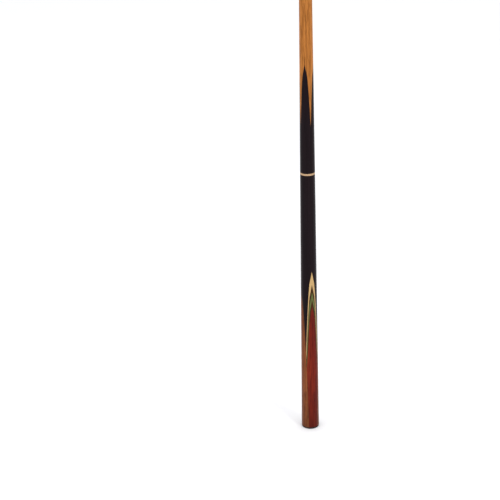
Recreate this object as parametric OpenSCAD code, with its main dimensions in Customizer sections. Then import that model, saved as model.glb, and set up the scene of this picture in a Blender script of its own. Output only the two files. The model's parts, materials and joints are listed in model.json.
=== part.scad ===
// Two-piece jointed pool cue: hand-spliced ash shaft and butt, brass joint, brass ferrule, leather tip.
// +Z runs from the rubber bumper at the origin to the tip, and -Y is the side that faces the player.

/* [Cue] */
// Whole length, from the bumper's face to the crown of the tip
cue_l = 1448; // [1350:1:1600]
// Length of the butt section, from the bumper's face to its joint face
butt_l = 449.5; // [400:0.5:560]
// Diameter at the butt end
butt_d = 29; // [26:0.1:35]
// Diameter at the joint
joint_d = 23.9; // [20:0.1:25.5]
// Height of the middle of the shaft's taper above the joint face
mid_rise = 600; // [400:10:700]
// Diameter at the middle of the shaft's taper
mid_d = 16.2; // [13:0.1:19]
// Diameter of the ferrule and the shaft's end
ferrule_d = 9.5; // [8:0.1:12]

/* [Tip and ferrule] */
// Length of the brass ferrule
ferrule_l = 12; // [8:0.5:20]
// Wall of the ferrule
ferrule_wall = 0.7; // [0.4:0.05:1.2]
// Height of the leather tip
tip_h = 5; // [3.5:0.1:8]
// Step from the ferrule's side in to the tip's
tip_step = 0.25; // [0.05:0.05:0.5]
// Radius of the tip's crown
crown_r = 9.5; // [7.5:0.5:14]

/* [Joint] */
// Length of each brass ring
ring_l = 1.5; // [1:0.25:8]
// Chamfer on the rings where they meet
ring_chamfer = 0.2; // [0.1:0.05:0.5]
// Diameter of the brass pin
pin_d = 8; // [6.5:0.1:9.6]
// Depth of the pin in the butt
pin_depth = 45; // [25:1:60]
// Length of the pin's threaded stretch above the joint face
thread_l = 20; // [12:1:24]
// Diameter of the plain pilot at the pin's end
pilot_d = 6; // [5:0.1:6.4]
// Length of the pilot
pilot_l = 6; // [3:0.5:8]
// Diameter of the brass socket in the shaft
socket_d = 11.5; // [10.6:0.1:13.8]
// Length of the socket
socket_l = 36; // [35:1:50]
// Gap between the pin and the socket, on each side
pin_gap = 0.08; // [0.05:0.01:0.1]
// Gap between the shaft's ring and the socket, on each side
ring_gap = 0.05; // [0.03:0.01:0.1]
// Gap between the pilot's end and the socket's floor
floor_gap = 1.5; // [0.5:0.1:3]

/* [Planed flats] */
// Slope of every flat to each side of its middle, in degrees
flat_crown = 0.5; // [0.3:0.1:1.5]
// Angle between the two sides of a point's trimmed tip
trim_angle = 22; // [20:1:90]
// Depth to which a feathered tip is trimmed
trim = 1; // [0.5:0.1:3]

/* [Ebony points] */
// Height of the points above the joint face
point_rise = 180.5; // [140:0.5:220]
// Length over which the core's flats run out to the points
point_taper_l = 165; // [120:1:200]
// Width of the ash core between its flats
core_w = 13; // [12.5:0.1:16]
// Turn of the front point from the player's side, to the right
point_turn = -16.5; // [-30:0.5:30]

/* [Front and back splices] */
// Height of the front splice's arch above the bumper's face
front_z = 285; // [230:1:330]
// Height at which its flat reaches full depth
front_knee_z = 87; // [60:1:150]
// Width of wood left between the front and back flats
front_w = 16.4; // [13:0.1:18]
// Turn of the front splice from the player's side, to the right
front_turn = 20.5; // [0:0.1:45]
// Thickness of the maple veneer
maple_t = 0.65; // [0.4:0.05:1.2]
// Thickness of the inner black veneer, between the maple and the green
inner_black_t = 0.39; // [0.2:0.01:0.6]
// Thickness of the green veneer
green_t = 0.38; // [0.3:0.01:1.2]
// Thickness of the black veneer under the padauk and of the one under the bubinga
black_t = 0.36; // [0.3:0.01:0.8]

/* [Side splices] */
// Height of the side splices' arch above the bumper's face
side_z = 252; // [190:1:280]
// Height at which the side flats change slope
side_knee_z = 110; // [80:1:180]
// Width of wood left between the side flats at that height
side_knee_w = 18.6; // [17:0.1:24]
// Width of wood left between the side flats at the butt end
side_w = 15.4; // [14.5:0.1:20]

/* [Butt end] */
// Height of the rubber bumper
bumper_h = 3; // [2:0.25:8]
// Step from the butt's side in to the bumper's
bumper_step = 0.3; // [0.1:0.05:1]
// Chamfer on the bumper's lower edge
bumper_chamfer = 0.8; // [0.3:0.1:1.5]
// Diameter of the lead weight
weight_d = 10; // [7:0.1:12]
// Length of the lead weight
weight_l = 60; // [20:1:120]
// Length of the wooden plug under the weight
plug_l = 25; // [18:1:40]
// Diameter of the bumper screw's shank
screw_d = 4; // [3:0.1:5]
// Depth of the screw in the plug
screw_depth = 16; // [10:1:17]
// Diameter of the screw's head
head_d = 8; // [6.5:0.1:9]
// Height of the screw's head
head_h = 1; // [0.8:0.1:1.2]
// Depth of the head below the bumper's face
head_sink = 0.6; // [0.3:0.1:0.8]
// Gap around the head in its recess, on each side
head_gap = 0.5; // [0.2:0.1:1]
// Width of the slot in the head
slot_w = 1; // [0.6:0.1:1.4]
// Depth of the slot in the head
slot_depth = 0.5; // [0.3:0.1:0.7]

/* [Hidden] */
$fn = 96;
mid_z = butt_l + mid_rise;
ferrule_z = cue_l - tip_h - ferrule_l;
tip_z = cue_l - tip_h;
wood_top = butt_l - ring_l;
shaft_base = butt_l + ring_l;
thread_top = butt_l + thread_l;
pilot_top = thread_top + pilot_l;
tenon_d = ferrule_d - 2 * ferrule_wall;
pin_chamfer = (pin_d - pilot_d) / 2;
point_z = butt_l + point_rise;
core_knee_z = point_z - point_taper_l;
core_top = bumper_h + plug_l + weight_l;
// The front splice's veneers, from the core outwards
front_veneers = [maple_t, inner_black_t, green_t, black_t];
// Cutting shapes reach this far past what they cut
over = 5;
// Half-width of a cutting shape, wider than the cue everywhere
wide = butt_d;

function mix(a, b, t) = a + (b - a) * t;
function butt_r(z) = mix(butt_d, joint_d, (z - bumper_h) / (butt_l - bumper_h)) / 2;
function lower_r(z) = mix(joint_d, mid_d, (z - butt_l) / mid_rise) / 2;
function upper_r(z) = mix(mid_d, ferrule_d, (z - mid_z) / (ferrule_z - mid_z)) / 2;
function shaft_r(z) = z < mid_z ? lower_r(z) : upper_r(z);
function surface_r(z) = z < butt_l ? butt_r(z) : shaft_r(z);
// Turn about Z that points +X at a given angle to the right of the player's side
function facing(angle) = angle - 90;
// A flat's line: its distance from the axis and height at the arch, at its knee and at the butt end
function point_line() = [
    [shaft_r(point_z), point_z], [core_w / 2, core_knee_z], [core_w / 2, bumper_h]
];
function front_line() = [
    [butt_r(front_z), front_z], [front_w / 2, front_knee_z], [front_w / 2, bumper_h]
];
function side_line() = [
    [butt_r(side_z), side_z], [side_knee_w / 2, side_knee_z], [side_w / 2, bumper_h]
];
// Depth that a flat gains below the surface with each millimetre down from its arch
function depth_rate(line) =
    (surface_r(line[1][1]) - line[1][0]) / (line[0][1] - line[1][1]);
// How far the front splice's layer i lies outside its flat
function front_in(i) = i == 0 ? 0 : front_in(i - 1) + front_veneers[i - 1];
// The point on the line through a and b that lies at height z
function along(a, b, z) = mix(a, b, (z - a[1]) / (b[1] - a[1]));

// Everything outside a flat, moved out by inset, on the side that angle faces.
// A planed flat is crowned: it is two planes that meet along its middle. Its feathered tip is trimmed to a V.
module beyond(line, angle, inset = 0) {
    top = along(line[1], line[0], line[0][1] + over);
    foot = along(line[1], line[2], line[2][1] - over);
    crest = line[0][1] - inset / depth_rate(line) - trim;
    shoulder = crest - wide / tan(trim_angle / 2);
    intersection() {
        for (lean = [-flat_crown, flat_crown])
            rotate([0, 0, facing(angle) + lean])
                rotate([90, 0, 0])
                    linear_extrude(2 * wide, center = true)
                        translate([inset, 0])
                            polygon([top, line[1], foot, [wide, foot[1]], [wide, top[1]]]);
        rotate([0, 0, facing(angle)])
            rotate([90, 0, 90])
                linear_extrude(2 * wide)
                    polygon([
                        [0, crest], [wide, shoulder], [wide, foot[1]], [-wide, foot[1]], [-wide, shoulder]
                    ]);
    }
}

module beyond_both(line, angle) {
    beyond(line, angle);
    beyond(line, angle + 180);
}

module butt_form() {
    translate([0, 0, bumper_h])
        cylinder(h = wood_top - bumper_h, r1 = butt_r(bumper_h), r2 = butt_r(wood_top));
}

// The shaft's lower taper, where the points lie
module shaft_form() {
    translate([0, 0, shaft_base])
        cylinder(h = mid_z - shaft_base, r1 = shaft_r(shaft_base), r2 = shaft_r(mid_z));
}

module pin_bore() {
    translate([0, 0, butt_l - pin_depth])
        cylinder(h = pin_depth + over, d = pin_d);
}

module weight_bore() {
    translate([0, 0, bumper_h - over])
        cylinder(h = core_top - bumper_h + over, d = weight_d);
}

module socket_bore() {
    translate([0, 0, butt_l - over])
        cylinder(h = socket_l + over, d = socket_d);
}

// Leather tip. The sphere is turned so that its poles lie clear of the crown.
module tip() {
    color("#7a8f9c")
        intersection() {
            translate([0, 0, tip_z])
                cylinder(h = tip_h, d = ferrule_d - 2 * tip_step);
            translate([0, 0, cue_l - crown_r])
                rotate([90, 0, 0])
                    sphere(r = crown_r);
        }
}

// Brass sleeve over the shaft's tenon
module ferrule() {
    color("#c9a253")
        translate([0, 0, ferrule_z])
            difference() {
                cylinder(h = ferrule_l, d = ferrule_d);
                translate([0, 0, -over])
                    cylinder(h = ferrule_l + 2 * over, d = tenon_d);
            }
}

// Ash shaft with a tenon at its top, four flats for the points and a bore for the socket
module shaft() {
    color("#c98a50")
        difference() {
            union() {
                shaft_form();
                translate([0, 0, mid_z])
                    cylinder(h = ferrule_z - mid_z, r1 = shaft_r(mid_z), r2 = shaft_r(ferrule_z));
                translate([0, 0, ferrule_z - over])
                    cylinder(h = ferrule_l + over, d = tenon_d);
            }
            beyond_both(point_line(), point_turn);
            beyond_both(point_line(), point_turn + 90);
            socket_bore();
        }
}

// An ebony point on the shaft. The side pair is glued on last and covers the edges of the other.
module shaft_point(angle, last) {
    color("#241a1c")
        difference() {
            intersection() {
                shaft_form();
                beyond(point_line(), angle);
            }
            if (!last)
                beyond_both(point_line(), angle + 90);
            socket_bore();
        }
}

// A brass ring with a bore, chamfered at the joint face, which is at height face
module ring(face, far, bore) {
    inner = bore / 2;
    edge = mix(face, far, ring_chamfer / ring_l);
    rotate_extrude()
        polygon([
            [inner, face],
            [joint_d / 2 - ring_chamfer, face],
            [face > far ? butt_r(edge) : shaft_r(edge), edge],
            [face > far ? butt_r(far) : shaft_r(far), far],
            [inner, far]
        ]);
}

module shaft_ring() {
    color("#c9b08e") ring(butt_l, shaft_base, socket_d + 2 * ring_gap);
}

module butt_ring() {
    color("#c9b08e") ring(butt_l, wood_top, pin_d);
}

// Brass socket that the pin screws into
module joint_socket() {
    bore_r = pin_d / 2 + pin_gap;
    floor_z = pilot_top + floor_gap;
    color("#b8934a")
        rotate_extrude()
            polygon([
                [0, floor_z],
                [bore_r, floor_z],
                [bore_r, butt_l + ring_chamfer],
                [bore_r + ring_chamfer, butt_l],
                [socket_d / 2, butt_l],
                [socket_d / 2, butt_l + socket_l],
                [0, butt_l + socket_l]
            ]);
}

// Brass pin, with a threaded stretch and a plain pilot above the joint face
module joint_pin() {
    color("#c2a05a")
        rotate_extrude()
            polygon([
                [0, butt_l - pin_depth],
                [pin_d / 2, butt_l - pin_depth],
                [pin_d / 2, thread_top - pin_chamfer],
                [pilot_d / 2, thread_top],
                [pilot_d / 2, pilot_top - pin_chamfer / 2],
                [pilot_d / 2 - pin_chamfer / 2, pilot_top],
                [0, pilot_top]
            ]);
}

// Square ash core of the butt, with the splices' flats cut into it
module butt_core() {
    color("#bd8148")
        difference() {
            butt_form();
            beyond_both(point_line(), point_turn);
            beyond_both(point_line(), point_turn + 90);
            beyond_both(front_line(), front_turn);
            beyond_both(side_line(), front_turn + 90);
            pin_bore();
            weight_bore();
        }
}

// An ebony splice on the butt's core, cut back for the coloured splices
module butt_ebony(angle, last) {
    color("#241a1c")
        difference() {
            intersection() {
                butt_form();
                beyond(point_line(), angle);
            }
            if (!last)
                beyond_both(point_line(), angle + 90);
            beyond_both(front_line(), front_turn);
            beyond_both(side_line(), front_turn + 90);
            pin_bore();
            weight_bore();
        }
}

// Layer i of a front or back splice, up to the next layer. The side splices cover its edges.
module front_layer(angle, i) {
    difference() {
        intersection() {
            butt_form();
            beyond(front_line(), angle, front_in(i));
        }
        if (i < len(front_veneers))
            beyond(front_line(), angle, front_in(i + 1));
        beyond_both(side_line(), front_turn + 90);
    }
}

module splice_maple(angle) {
    color("#cda873") front_layer(angle, 0);
}

module splice_inner_black(angle) {
    color("#2c1a12") front_layer(angle, 1);
}

module splice_green(angle) {
    color("#66703f") front_layer(angle, 2);
}

module splice_black(angle) {
    color("#2c1a12") front_layer(angle, 3);
}

module splice_padauk(angle) {
    color("#8b2f1b") front_layer(angle, 4);
}

module side_black(angle) {
    color("#2c1a12")
        difference() {
            intersection() {
                butt_form();
                beyond(side_line(), angle);
            }
            beyond(side_line(), angle, black_t);
        }
}

module side_bubinga(angle) {
    color("#94573b")
        intersection() {
            butt_form();
            beyond(side_line(), angle, black_t);
        }
}

module lead_weight() {
    color("#6c6f73")
        translate([0, 0, bumper_h + plug_l])
            cylinder(h = weight_l, d = weight_d);
}

// Wooden plug that closes the weight's bore and takes the screw
module butt_plug() {
    color("#b07a45")
        difference() {
            translate([0, 0, bumper_h])
                cylinder(h = plug_l, d = weight_d);
            translate([0, 0, bumper_h - over])
                cylinder(h = screw_depth + over, d = screw_d);
        }
}

// Rubber disc with a recess for the screw's head
module bumper() {
    side_r = butt_d / 2 - bumper_step;
    recess_r = head_d / 2 + head_gap;
    seat_z = head_sink + head_h;
    color("#1f1c1b")
        rotate_extrude()
            polygon([
                [recess_r, 0],
                [side_r - bumper_chamfer, 0],
                [side_r, bumper_chamfer],
                [side_r, bumper_h],
                [screw_d / 2, bumper_h],
                [screw_d / 2, seat_z],
                [recess_r, seat_z]
            ]);
}

module bumper_screw() {
    seat_z = head_sink + head_h;
    color("#9a9a98")
        difference() {
            union() {
                translate([0, 0, head_sink])
                    cylinder(h = head_h, d = head_d);
                translate([0, 0, seat_z])
                    cylinder(h = bumper_h + screw_depth - seat_z, d = screw_d);
            }
            translate([-wide, -slot_w / 2, head_sink - over])
                cube([2 * wide, slot_w, over + slot_depth]);
        }
}

tip();
ferrule();
shaft();
shaft_point(point_turn, false);  // shaft_point_front
shaft_point(point_turn + 90, true);  // shaft_point_right
shaft_point(point_turn + 180, false);  // shaft_point_back
shaft_point(point_turn + 270, true);  // shaft_point_left
shaft_ring();
joint_socket();
joint_pin();
butt_ring();
butt_core();
butt_ebony(point_turn, false);  // butt_ebony_front
butt_ebony(point_turn + 90, true);  // butt_ebony_right
butt_ebony(point_turn + 180, false);  // butt_ebony_back
butt_ebony(point_turn + 270, true);  // butt_ebony_left
splice_maple(front_turn);  // front_splice_maple
splice_inner_black(front_turn);  // front_splice_inner_black
splice_green(front_turn);  // front_splice_green
splice_black(front_turn);  // front_splice_black
splice_padauk(front_turn);  // front_splice_padauk
splice_maple(front_turn + 180);  // back_splice_maple
splice_inner_black(front_turn + 180);  // back_splice_inner_black
splice_green(front_turn + 180);  // back_splice_green
splice_black(front_turn + 180);  // back_splice_black
splice_padauk(front_turn + 180);  // back_splice_padauk
side_black(front_turn - 90);  // left_splice_black
side_bubinga(front_turn - 90);  // left_splice_bubinga
side_black(front_turn + 90);  // right_splice_black
side_bubinga(front_turn + 90);  // right_splice_bubinga
lead_weight();
butt_plug();
bumper();
bumper_screw();
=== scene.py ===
"""Looks of the jointed pool cue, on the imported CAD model: metres, +Z up, with the butt on the floor."""

import json
import math

import bmesh
import bpy
from mathutils import Matrix, Vector


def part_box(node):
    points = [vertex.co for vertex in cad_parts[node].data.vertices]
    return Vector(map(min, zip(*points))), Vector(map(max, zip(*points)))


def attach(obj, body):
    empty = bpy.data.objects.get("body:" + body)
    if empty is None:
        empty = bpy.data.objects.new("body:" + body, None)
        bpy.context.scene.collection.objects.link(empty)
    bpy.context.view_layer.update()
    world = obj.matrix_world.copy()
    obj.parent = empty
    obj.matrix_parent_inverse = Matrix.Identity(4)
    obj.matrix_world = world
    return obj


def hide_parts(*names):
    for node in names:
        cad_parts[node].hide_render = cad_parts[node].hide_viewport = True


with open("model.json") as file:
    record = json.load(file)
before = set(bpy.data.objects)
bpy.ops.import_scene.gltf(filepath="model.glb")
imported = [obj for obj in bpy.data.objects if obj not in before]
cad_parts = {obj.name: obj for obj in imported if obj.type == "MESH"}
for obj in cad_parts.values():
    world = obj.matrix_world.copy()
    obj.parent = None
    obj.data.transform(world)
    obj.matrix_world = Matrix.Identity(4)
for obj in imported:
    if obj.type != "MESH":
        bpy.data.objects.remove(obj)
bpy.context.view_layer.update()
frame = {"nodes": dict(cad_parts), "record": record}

# Camera: where it stands relative to the cue's foot, how far it looks down and how far it leans
CAMERA_PLACE = Vector((-0.0942, -2.4303, 1.2878))
CAMERA_DOWN = math.radians(21.71)
CAMERA_ROLL = math.radians(1.478)
CAMERA_LENS_MM = 116.8
SENSOR_MM = 36.0

FLOOR_REACH = 12.0
MM = 0.001
TURN = 2 * math.pi

# Thread: its pitch, the radius at its roots, the clearance in the socket and the mesh's steps
PITCH = 2.0 * MM
THREAD_LENGTH = 20.0 * MM
ROOT_DROP = 0.65 * MM
THREAD_GAP = 0.08 * MM
THREAD_STEP = 0.1 * MM
THREAD_FADE = 1.0 * MM
THREAD_SIDES = 64
# Of half a pitch, the part that is flat root and the part that is flank, and how much the flank curves
ROOT_FLAT = 0.12
FLANK = 0.7
FLANK_POWER = 1.2
PILOT_RADIUS = 3.0 * MM
PILOT_ROUND = 0.6 * MM
SOCKET_FLOOR_GAP = 1.5 * MM
MOUTH_CHAMFER = 0.2 * MM

# Radius lost with each metre up, near enough for textures
TAPER = 6.8 * MM
# Painted shade darkens the wood towards the foot: it begins at the first height below, is strongest below the
# second, and its edge wavers by the third
PAINTED_SHADE_TOP = 110.0 * MM
PAINTED_SHADE_FULL = 10.0 * MM
PAINTED_SHADE_WAVER = 30.0 * MM
# Varnish reflects little here, so that the white surroundings don't lift the dark woods
VARNISH_SPECULAR = 0.08
WOOD_RELIEF = 0.03 * MM
METAL_RELIEF = 0.02 * MM

# The cue's taper: its diameter at the foot, the joint, the middle of the shaft and the ferrule
FOOT_D = 29.0 * MM
JOINT_D = 23.9 * MM
MIDDLE_D = 16.2 * MM
FERRULE_D = 9.5 * MM
MIDDLE_RISE = 600.0 * MM
# A vertex this near the taper lies on it. Wood is cut at every RING_STEP up and every SIDE_STEP round.
ON_TAPER = 0.005 * MM
WELD = 0.001 * MM
RING_STEP = 10.0 * MM
SIDE_STEP = math.radians(5)
SHARP = math.radians(35)

# Tip: how far it domes and bulges, the rows of its side and dome, and where the chalk ends
TIP_DOME = 1.1 * MM
TIP_BULGE = 0.06 * MM
TIP_SIDE_ROWS = 9
TIP_DOME_ROWS = 13
CHALK_DEPTH = 1.6 * MM
CHALK_FADE = 0.5 * MM

ROUND_SIDES = 128
ARC_STEPS = 6
PIN_SEED, SOCKET_SEED, TIP_SEED = 21, 22, 23
# Nodes that a turned piece stands for, and wood that keeps its CAD mesh because it never shows
REPLACED = ("joint_pin", "joint_socket", "tip")
HIDDEN_WOOD = ("butt_plug",)


# ---------------------------------------------------------------- stage

def add_camera():
    data = bpy.data.cameras.new("camera")
    data.sensor_width = SENSOR_MM
    data.lens = CAMERA_LENS_MM
    data.clip_start = 0.05
    data.clip_end = 50.0
    camera = bpy.data.objects.new("camera", data)
    look = Matrix.Rotation(math.radians(90) - CAMERA_DOWN, 4, "X") @ Matrix.Rotation(-CAMERA_ROLL, 4, "Z")
    camera.matrix_world = Matrix.Translation(CAMERA_PLACE) @ look
    bpy.context.scene.collection.objects.link(camera)
    bpy.context.scene.camera = camera


def area_light(name, place, target, size, watts, colour=(1.0, 1.0, 1.0)):
    data = bpy.data.lights.new(name, "AREA")
    data.shape = "RECTANGLE"
    data.size, data.size_y = size
    data.energy = watts
    data.color = colour
    light = bpy.data.objects.new(name, data)
    light.location = place
    light.rotation_euler = (Vector(target) - Vector(place)).to_track_quat("-Z", "Y").to_euler()
    bpy.context.scene.collection.objects.link(light)


def add_floor():
    mesh = bpy.data.meshes.new("floor")
    corners = [(-FLOOR_REACH, -FLOOR_REACH, 0), (FLOOR_REACH, -FLOOR_REACH, 0),
               (FLOOR_REACH, FLOOR_REACH, 0), (-FLOOR_REACH, FLOOR_REACH, 0)]
    mesh.from_pydata(corners, [], [(0, 1, 2, 3)])
    floor = bpy.data.objects.new("floor", mesh)
    bpy.context.scene.collection.objects.link(floor)
    paper = Recipe("floor_paper")
    paper.set({"Base Color": (0.85, 0.85, 0.86, 1), "Roughness": 0.9})
    mesh.materials.append(paper.material)


def add_studio():
    world = bpy.data.worlds.new("studio")
    world.use_nodes = True
    background = world.node_tree.nodes["Background"]
    background.inputs["Color"].default_value = (0.97, 0.98, 1.0, 1)
    background.inputs["Strength"].default_value = 0.6
    bpy.context.scene.world = world
    bpy.context.scene.view_settings.view_transform = "Standard"
    area_light("ceiling", (0, 1.0, 5.0), (0, 1.0, 0), (12.0, 12.0), 420)
    area_light("key", (1.5, -2.2, 2.4), (0, 0, 0.6), (0.7, 1.8), 32)
    area_light("fill", (-2.4, -1.6, 1.6), (0, 0, 0.6), (1.0, 1.8), 10)


# ---------------------------------------------------------------- material graphs

def linear(code):
    """An sRGB hex colour as the linear colour that a shader takes."""
    parts = [int(code[i:i + 2], 16) / 255 for i in (0, 2, 4)]
    return (*[v / 12.92 if v <= 0.04045 else ((v + 0.055) / 1.055) ** 2.4 for v in parts], 1.0)


class Recipe:
    """One material's node graph. Sizes are in metres, in the object's own coordinates."""

    def __init__(self, name, seed=0):
        self.material = bpy.data.materials.new(name)
        self.material.use_nodes = True
        self.tree = self.material.node_tree
        self.shader = self.tree.nodes["Principled BSDF"]
        self.seed = seed
        self.place = self.tree.nodes.new("ShaderNodeTexCoord").outputs["Object"]

    def feed(self, socket, value):
        if isinstance(value, bpy.types.NodeSocket):
            self.tree.links.new(value, socket)
        else:
            socket.default_value = value

    def set(self, values):
        for name, value in values.items():
            self.feed(self.shader.inputs[name], value)

    def vector(self, operation, a, b=None, scale=None):
        node = self.tree.nodes.new("ShaderNodeVectorMath")
        node.operation = operation
        self.feed(node.inputs[0], a)
        if b is not None:
            self.feed(node.inputs[1], b)
        if scale is not None:
            self.feed(node.inputs["Scale"], scale)
        return node.outputs["Value" if operation == "DOT_PRODUCT" else "Vector"]

    def onto_taper(self):
        """From here on, textures are read on the cue's smooth taper and not on the mesh's chords."""
        z = self.along((0, 0, 1))
        radius = self.maths("ADD", self.maths("MULTIPLY", z, -TAPER), FOOT_D / 2)
        outward = self.vector("NORMALIZE", self.vector("MULTIPLY", self.place, (1, 1, 0)))
        flat = self.vector("MULTIPLY", self.place, (0, 0, 1))
        self.place = self.vector("ADD", self.vector("SCALE", outward, scale=radius), flat)

    def noise(self, size, detail=3.0, distortion=0.0, shift=0.0):
        """Noise whose features are about size = (x, y, z) metres long, from 0 to 1."""
        mapping = self.tree.nodes.new("ShaderNodeMapping")
        self.feed(mapping.inputs["Vector"], self.place)
        mapping.inputs["Scale"].default_value = [1 / v for v in size]
        place = (self.seed * 7.31 + shift, self.seed * 3.77 - shift, self.seed * 5.13)
        mapping.inputs["Location"].default_value = place
        node = self.tree.nodes.new("ShaderNodeTexNoise")
        self.feed(node.inputs["Vector"], mapping.outputs["Vector"])
        node.inputs["Scale"].default_value = 1.0
        node.inputs["Detail"].default_value = detail
        node.inputs["Distortion"].default_value = distortion
        return node.outputs["Fac"]

    def maths(self, operation, a, b=0.0):
        node = self.tree.nodes.new("ShaderNodeMath")
        node.operation = operation
        self.feed(node.inputs[0], a)
        self.feed(node.inputs[1], b)
        return node.outputs[0]

    def remap(self, value, low, high, out_low=0.0, out_high=1.0):
        node = self.tree.nodes.new("ShaderNodeMapRange")
        node.clamp = True
        self.feed(node.inputs["Value"], value)
        limits = {"From Min": low, "From Max": high, "To Min": out_low, "To Max": out_high}
        for name, limit in limits.items():
            node.inputs[name].default_value = limit
        return node.outputs["Result"]

    def mix(self, amount, a, b):
        node = self.tree.nodes.new("ShaderNodeMix")
        node.data_type = "RGBA"
        self.feed(node.inputs[0], amount)
        self.feed(node.inputs[6], a)
        self.feed(node.inputs[7], b)
        return node.outputs[2]

    def along(self, direction):
        """The point's dot product with a direction."""
        return self.vector("DOT_PRODUCT", self.place, direction)

    def bump(self, height, distance, strength=1.0):
        node = self.tree.nodes.new("ShaderNodeBump")
        node.inputs["Strength"].default_value = strength
        node.inputs["Distance"].default_value = distance
        self.feed(node.inputs["Height"], height)
        self.feed(self.shader.inputs["Normal"], node.outputs["Normal"])


# Each wood's tones, its ring spacing in mm and its rings' rise, the width and length of its pores and streaks
# in mm, how strong its rings, streaks and pores are, and its roughness
WOODS = {
    "ash": {
        "light": "d8914c", "mid": "bd7838", "streak": "87501f", "pore": "583312",
        "ring": 3.4, "rise": 0.03, "pore_w": 0.6, "pore_l": 12, "streak_w": 1.3, "streak_l": 32,
        "rings": 0.6, "streaks": 0.95, "pores": 1.0, "gloss": 0.3,
    },
    "ebony": {
        "light": "1c1015", "mid": "140a0f", "streak": "0b0508", "pore": "060304",
        "ring": 1.4, "rise": 0.01, "pore_w": 0.2, "pore_l": 5, "streak_w": 1.6, "streak_l": 60,
        "rings": 0.15, "streaks": 0.6, "pores": 0.4, "gloss": 0.24,
    },
    "padauk": {
        "light": "8c2f1a", "mid": "701d10", "streak": "4a0f08", "pore": "360803",
        "ring": 2.8, "rise": 0.02, "pore_w": 0.5, "pore_l": 8, "streak_w": 1.4, "streak_l": 28,
        "rings": 0.5, "streaks": 0.8, "pores": 0.9, "gloss": 0.27,
    },
    "bubinga": {
        "light": "9c5a33", "mid": "7c4222", "streak": "552813", "pore": "36180b",
        "ring": 3.0, "rise": 0.03, "pore_w": 0.5, "pore_l": 6, "streak_w": 1.4, "streak_l": 24,
        "rings": 0.5, "streaks": 0.85, "pores": 0.9, "gloss": 0.27,
    },
    "maple": {
        "light": "d2b17c", "mid": "c3a06c", "streak": "ad8a57", "pore": "93713f",
        "ring": 2.0, "rise": 0.012, "pore_w": 0.18, "pore_l": 4, "streak_w": 0.8, "streak_l": 30,
        "rings": 0.3, "streaks": 0.5, "pores": 0.35, "gloss": 0.28,
    },
    "green_veneer": {
        "light": "727a48", "mid": "626b3b", "streak": "4c4f24", "pore": "35380f",
        "ring": 1.8, "rise": 0.012, "pore_w": 0.2, "pore_l": 5, "streak_w": 0.7, "streak_l": 35,
        "rings": 0.35, "streaks": 0.6, "pores": 0.4, "gloss": 0.28,
    },
    "black_veneer": {
        "light": "4d2f12", "mid": "3a200c", "streak": "281506", "pore": "170b04",
        "ring": 1.8, "rise": 0.012, "pore_w": 0.2, "pore_l": 5, "streak_w": 0.7, "streak_l": 35,
        "rings": 0.25, "streaks": 0.5, "pores": 0.4, "gloss": 0.28,
    },
}


def wood(name, species, seed):
    """Varnished wood with its grain along Z: tilted growth rings, streaks, open pores, handling wear, and
    painted shade that darkens it towards the foot.
    """
    w = WOODS[species]
    r = Recipe(name, seed)
    r.onto_taper()
    ring, pore, streak = w["ring"] * MM, w["pore_w"] * MM, w["streak_w"] * MM
    heading = seed * 1.9
    across = (math.cos(heading) / ring, math.sin(heading) / ring, w["rise"] / ring)
    waver = r.noise((9 * MM, 9 * MM, 160 * MM), detail=2.0)
    phase = r.maths("FRACT", r.maths("ADD", r.along(across), r.maths("MULTIPLY", waver, 3.2)))
    early = r.remap(phase, 0.55, 0.98)
    broad = r.noise((14 * MM, 14 * MM, 260 * MM), detail=1.0, shift=4.1)
    streaks = r.remap(r.noise((streak, streak, w["streak_l"] * MM), shift=2.3), 0.5, 0.68)
    pores = r.remap(r.noise((pore, pore, w["pore_l"] * MM), detail=2.0, shift=9.7), 0.56, 0.66)
    porous = r.maths("MULTIPLY", pores, r.remap(early, 0.0, 1.0, 0.45, 1.0))
    tone = r.mix(r.remap(broad, 0.35, 0.65), linear(w["mid"]), linear(w["light"]))
    fibre = r.remap(r.noise((0.16 * MM, 0.16 * MM, 8 * MM), detail=1.0, shift=21.5), 0.4, 0.65, 0.0, 0.32)
    tone = r.mix(fibre, tone, linear(w["streak"]))
    tone = r.mix(r.maths("MULTIPLY", early, w["rings"]), tone, linear(w["streak"]))
    tone = r.mix(r.maths("MULTIPLY", streaks, w["streaks"]), tone, linear(w["streak"]))
    tone = r.mix(r.maths("MULTIPLY", porous, w["pores"]), tone, linear(w["pore"]))
    # Painted shade: the colour darkens towards the foot, up to half way to the pore tone, with a wavering edge
    painted_shade = r.maths("ADD", r.along((0, 0, 1)), r.maths("MULTIPLY", broad, PAINTED_SHADE_WAVER))
    tone = r.mix(r.remap(painted_shade, PAINTED_SHADE_TOP, PAINTED_SHADE_FULL, 0.0, 0.5), tone, linear(w["pore"]))
    scratches = r.remap(r.noise((0.5 * MM, 0.5 * MM, 35 * MM), detail=1.0, shift=14.2), 0.64, 0.7)
    handled = r.noise((22 * MM, 22 * MM, 60 * MM), detail=4.0, shift=6.6)
    rough = r.remap(handled, 0.3, 0.7, w["gloss"] - 0.05, w["gloss"] + 0.1)
    rough = r.maths("ADD", rough, r.maths("MULTIPLY", scratches, 0.12))
    rough = r.maths("ADD", rough, r.maths("MULTIPLY", porous, 0.15))
    r.set({"Base Color": tone, "Roughness": rough, "Specular IOR Level": VARNISH_SPECULAR})
    relief = r.maths("SUBTRACT", 1.0, r.maths("ADD", r.maths("MULTIPLY", porous, 0.8), scratches))
    r.bump(relief, WOOD_RELIEF, 0.6)
    return r.material


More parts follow.
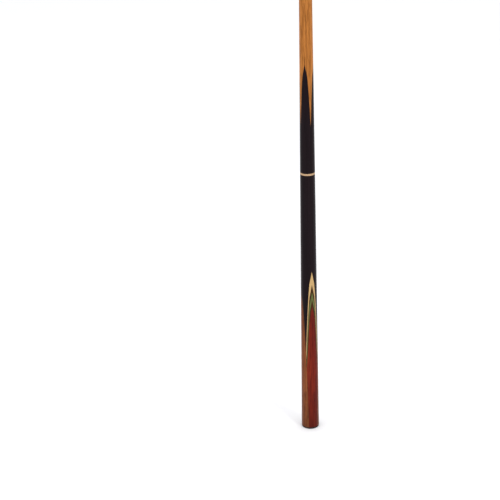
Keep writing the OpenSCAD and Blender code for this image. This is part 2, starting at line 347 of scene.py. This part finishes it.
def turned_metal(name, seed, bright, dull, gloss, line=0.12):
    """Turned metal: fine rings round Z left by the tool, tarnish in patches and handling marks."""
    r = Recipe(name, seed)
    lines = r.noise((400 * MM, 400 * MM, line * MM), detail=2.0)
    tarnish = r.noise((1.6 * MM, 1.6 * MM, 1.1 * MM), detail=6.0, shift=3.9)
    marks = r.remap(r.noise((0.6 * MM, 0.25 * MM, 2.2 * MM), detail=2.0, shift=8.8), 0.62, 0.7)
    tone = r.mix(r.remap(tarnish, 0.4, 0.7, 0.0, 0.45), linear(bright), linear(dull))
    rough = r.remap(tarnish, 0.35, 0.7, gloss, gloss + 0.1)
    rough = r.maths("ADD", rough, r.maths("MULTIPLY", lines, 0.08))
    rough = r.maths("ADD", rough, r.maths("MULTIPLY", marks, 0.1))
    r.set({"Base Color": tone, "Metallic": 1.0, "Roughness": rough})
    r.bump(r.maths("SUBTRACT", lines, marks), METAL_RELIEF, 0.7)
    return r.material


def lead(name, seed):
    r = Recipe(name, seed)
    cast = r.noise((1.5 * MM, 1.5 * MM, 2 * MM), detail=5.0)
    oxide = r.noise((6 * MM, 6 * MM, 9 * MM), detail=3.0, shift=5.0)
    r.set({"Base Color": r.mix(oxide, linear("6a6d72"), linear("85878a")), "Metallic": 0.8,
           "Roughness": r.remap(cast, 0.3, 0.7, 0.5, 0.75)})
    r.bump(cast, 0.12 * MM, 0.7)
    return r.material


def rubber(name, seed):
    r = Recipe(name, seed)
    grain = r.noise((0.5 * MM, 0.5 * MM, 0.5 * MM), detail=4.0)
    dust = r.noise((5 * MM, 5 * MM, 2 * MM), detail=4.0, shift=2.7)
    r.set({"Base Color": r.mix(r.remap(dust, 0.45, 0.75), linear("1d1a19"), linear("39342f")),
           "Roughness": r.remap(dust, 0.3, 0.7, 0.6, 0.85), "Specular IOR Level": 0.3})
    r.bump(grain, 0.05 * MM, 0.6)
    return r.material


def chalked_leather(name, seed, side_top):
    """Pressed leather with a burnished brown side and blue chalk worked into the crown."""
    r = Recipe(name, seed)
    fibre = r.noise((0.35 * MM, 0.35 * MM, 0.35 * MM), detail=5.0)
    patch = r.noise((1.8 * MM, 1.8 * MM, 1.8 * MM), detail=3.0, shift=3.3)
    laminae = r.noise((300 * MM, 300 * MM, 0.4 * MM), detail=1.0, shift=1.2)
    height = r.maths("ADD", r.along((0, 0, 1)), r.maths("MULTIPLY", patch, 0.5 * MM))
    crown = r.remap(height, side_top, side_top + CHALK_FADE)
    chalk = r.mix(r.remap(patch, 0.35, 0.65), linear("3f6f8c"), linear("6b9cb2"))
    side = r.mix(r.remap(laminae, 0.35, 0.65), linear("4a3020"), linear("6b4a31"))
    r.set({"Base Color": r.mix(crown, side, chalk), "Roughness": r.remap(crown, 0.0, 1.0, 0.45, 0.95),
           "Specular IOR Level": 0.25})
    r.bump(fibre, 0.1 * MM, 0.7)
    return r.material


def material_for(name, slot, seed):
    if slot in WOODS:
        return wood(name, slot, seed)
    if slot == "polished_brass":
        return turned_metal(name, seed, "c9a884", "8f7150", 0.16)
    if slot == "brass":
        return turned_metal(name, seed, "cfa862", "a37f42", 0.24)
    if slot == "steel":
        return turned_metal(name, seed, "b5b6b4", "8e8f8c", 0.3)
    if slot == "lead":
        return lead(name, seed)
    if slot == "rubber":
        return rubber(name, seed)
    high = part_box("tip")[1]
    return chalked_leather(name, seed, high[2] - CHALK_DEPTH)


# ---------------------------------------------------------------- meshes

def new_piece(name, points, faces, body, slot, seed, *replaced):
    mesh = bpy.data.meshes.new(name)
    mesh.from_pydata(points, [], faces)
    mesh.validate()
    piece = bpy.data.objects.new(name, mesh)
    bpy.context.scene.collection.objects.link(piece)
    mesh.shade_smooth()
    mesh.set_sharp_from_angle(angle=SHARP)
    mesh.materials.append(material_for(name, slot, seed))
    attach(piece, body)
    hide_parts(*replaced)


def revolve(rows, sides, shape=None):
    """A closed surface of revolution from rows of (radius, height). A radius of 0 is a pole.
    shape(angle, radius, height) may move each point's radius."""
    points, faces, starts = [], [], []
    for radius, height in rows:
        starts.append(len(points))
        if radius == 0:
            points.append((0, 0, height))
            continue
        for i in range(sides):
            a = TURN * i / sides
            r = shape(a, radius, height) if shape else radius
            points.append((r * math.cos(a), r * math.sin(a), height))
    loop = rows[0][0] > 0 and rows[-1][0] > 0
    pairs = len(rows) if loop else len(rows) - 1
    for k in range(pairs):
        n = (k + 1) % len(rows)
        a, b = starts[k], starts[n]
        for i in range(sides):
            j = (i + 1) % sides
            if rows[k][0] == 0:
                faces.append((a, b + j, b + i))
            elif rows[n][0] == 0:
                faces.append((a + i, a + j, b))
            else:
                faces.append((a + i, a + j, b + j, b + i))
    return points, faces


def rounded(corner, before, after, radius):
    """A corner of a profile as an arc between the directions to the corners before and after it."""
    c = Vector(corner)
    u = (Vector(before) - c).normalized()
    v = (Vector(after) - c).normalized()
    start, end = c + u * radius, c + v * radius
    rows = []
    for i in range(ARC_STEPS + 1):
        t = i / ARC_STEPS
        p = start * (1 - t) ** 2 + c * 2 * t * (1 - t) + end * t ** 2
        rows.append((p.x, p.y))
    return rows


def spans(node):
    """A round node's outer radius and its lowest and highest z."""
    low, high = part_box(node)
    return (high[0] - low[0]) / 2, low[2], high[2]


def thread_drop(angle, z, face):
    """How far the thread lies below its crest: flat crests and roots, with flanks that curve into the root."""
    phase = ((z - face) / PITCH - angle / TURN) % 1.0
    away = abs(phase - 0.5) * 2
    return ROOT_DROP * (1 - min(1.0, max(0.0, (away - ROOT_FLAT) / FLANK)) ** FLANK_POWER)


def steps(low, high, step):
    count = round((high - low) / step)
    return [low + (high - low) * i / count for i in range(count + 1)]


def add_pin():
    radius, bottom, top = spans("joint_pin")
    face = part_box("butt_ring")[1][2]
    thread_end = face + THREAD_LENGTH
    chamfer = radius - PILOT_RADIUS

    def shape(angle, r, z):
        """The groove starts gently at the butt's face, and the top is chamfered down to the pilot."""
        if r < radius or z <= face:
            return r
        ease = min(1.0, (z - face) / THREAD_FADE)
        return min(r - thread_drop(angle, z, face) * ease, radius - max(0.0, z - thread_end + chamfer))

    rows = [(0, bottom), (radius, bottom)]
    rows += [(radius, z) for z in steps(face - THREAD_STEP, thread_end, THREAD_STEP)]
    rows += rounded((PILOT_RADIUS, top), (PILOT_RADIUS, bottom), (0, top), PILOT_ROUND)
    rows += [(0, top)]
    points, faces = revolve(rows, THREAD_SIDES, shape)
    new_piece("threaded_pin", points, faces, "butt", "brass", PIN_SEED, "joint_pin")


def add_socket():
    outer, bottom, top = spans("joint_socket")
    pin_radius = spans("joint_pin")[0]
    bore = pin_radius + THREAD_GAP
    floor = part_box("joint_pin")[1][2] + SOCKET_FLOOR_GAP
    thread_end = bottom + THREAD_LENGTH

    def shape(angle, r, z):
        """The ridges start gently behind the mouth and end gently above the pin's thread."""
        if r != bore or not bottom < z < thread_end:
            return r
        ease = min(1.0, (z - bottom) / THREAD_FADE, (thread_end - z) / THREAD_FADE)
        return r - thread_drop(angle, z, bottom) * ease

    rows = [(0, top), (outer, top), (outer, bottom), (bore + MOUTH_CHAMFER, bottom)]
    rows += [(bore, z) for z in steps(bottom + 2 * THREAD_STEP, thread_end, THREAD_STEP)]
    rows += [(bore, floor), (0, floor)]
    rows.reverse()
    points, faces = revolve(rows, THREAD_SIDES, shape)
    new_piece("threaded_socket", points, faces, "shaft", "brass", SOCKET_SEED, "joint_socket")


def add_tip():
    radius, bottom, top = spans("tip")
    shoulder = top - TIP_DOME
    side = radius - TIP_BULGE
    rows = [(0, bottom), (side, bottom)]
    for i in range(1, TIP_SIDE_ROWS):
        t = i / TIP_SIDE_ROWS
        rows.append((side + TIP_BULGE * math.sin(math.pi * t), bottom + (shoulder - bottom) * t))
    for i in range(TIP_DOME_ROWS):
        a = math.pi / 2 * i / TIP_DOME_ROWS
        rows.append((side * math.cos(a), shoulder + TIP_DOME * math.sin(a)))
    rows.append((0, top))
    points, faces = revolve(rows, ROUND_SIDES)
    new_piece("domed_tip", points, faces, "shaft", "leather", TIP_SEED, "tip")


# Height and diameter where the taper changes, read once because a box takes a while to find
FOOT_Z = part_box("bumper")[1][2]
JOINT_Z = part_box("butt_ring")[1][2]
MIDDLE_Z = JOINT_Z + MIDDLE_RISE
FERRULE_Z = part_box("ferrule")[0][2]
TAPERS = ((FOOT_Z, JOINT_Z, FOOT_D, JOINT_D), (JOINT_Z, MIDDLE_Z, JOINT_D, MIDDLE_D),
          (MIDDLE_Z, FERRULE_Z, MIDDLE_D, FERRULE_D))


def taper_radius(z):
    """The cue's radius at height z, from its foot to its ferrule."""
    for low, high, low_d, high_d in TAPERS:
        if z <= high:
            return (low_d + (high_d - low_d) * (z - low) / (high - low)) / 2
    return FERRULE_D / 2


def mark_outside(cut, outside):
    """Marks the faces of each CAD surface that lies on the taper. Each surface has its own vertices here."""
    left = set(cut.faces)
    while left:
        island, waiting = set(), [left.pop()]
        while waiting:
            face = waiting.pop()
            island.add(face)
            near = {f for v in face.verts for f in v.link_faces} & left
            left -= near
            waiting += near
        points = {v for f in island for v in f.verts}
        if all(abs(math.hypot(v.co.x, v.co.y) - taper_radius(v.co.z)) < ON_TAPER for v in points):
            for face in island:
                face[outside] = 1


def cutting_planes(node):
    """The planes that cut every node alike, level and upright, each as a place and a normal."""
    low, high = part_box(node)
    levels = range(math.ceil(low[2] / RING_STEP), int(high[2] / RING_STEP) + 1)
    turns = range(round(math.pi / SIDE_STEP))
    planes = [((0, 0, k * RING_STEP), (0, 0, 1)) for k in levels]
    return planes + [((0, 0, 0), (math.sin(k * SIDE_STEP), math.cos(k * SIDE_STEP), 0)) for k in turns]


def set_on_taper(cut, outside):
    for vertex in cut.verts:
        if any(face[outside] for face in vertex.link_faces):
            scale = taper_radius(vertex.co.z) / math.hypot(vertex.co.x, vertex.co.y)
            vertex.co.x *= scale
            vertex.co.y *= scale


def shade(cut, outside):
    """Smooth shading, with a sharp edge round the outside and wherever the surface turns sharply."""
    for face in cut.faces:
        face.smooth = True
    for edge in cut.edges:
        sides = {face[outside] for face in edge.link_faces}
        edge.smooth = len(sides) == 1 and edge.calc_face_angle(math.pi) < SHARP


def add_wood(node, slot, body, seed):
    """A piece that stands for a wooden node: its mesh, finely cut, with the outside set on the taper."""
    mesh = frame["nodes"][node].data.copy()
    mesh.name = node + "_wood"
    cut = bmesh.new()
    cut.from_mesh(mesh)
    outside = cut.faces.layers.int.new("outside")
    mark_outside(cut, outside)
    bmesh.ops.remove_doubles(cut, verts=cut.verts, dist=WELD)
    for place, normal in cutting_planes(node):
        everything = cut.verts[:] + cut.edges[:] + cut.faces[:]
        bmesh.ops.bisect_plane(cut, geom=everything, dist=WELD, plane_co=place, plane_no=normal)
    bmesh.ops.dissolve_degenerate(cut, dist=WELD / 10, edges=cut.edges)
    set_on_taper(cut, outside)
    shade(cut, outside)
    cut.faces.layers.int.remove(outside)
    cut.to_mesh(mesh)
    cut.free()
    # The copied normals are those of the CAD mesh: zeros clear them
    mesh.normals_split_custom_set([(0, 0, 0)] * len(mesh.loops))
    piece = bpy.data.objects.new(mesh.name, mesh)
    bpy.context.scene.collection.objects.link(piece)
    mesh.materials.clear()
    mesh.materials.append(material_for(node, slot, seed))
    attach(piece, body)
    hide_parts(node)


add_camera()
add_floor()
add_studio()
add_pin()
add_socket()
add_tip()

body_of = {node: body for body, nodes in frame["record"]["behaviour"]["bodies"].items() for node in nodes}
for seed, row in enumerate(frame["record"]["subparts"], start=1):
    name, slot = row["node"], row["material_slot"]
    if name in REPLACED:
        continue
    if slot in WOODS and name not in HIDDEN_WOOD:
        add_wood(name, slot, body_of[name], seed)
        continue
    node = frame["nodes"][name]
    node.data.materials.clear()
    node.data.materials.append(material_for(name, slot, seed))
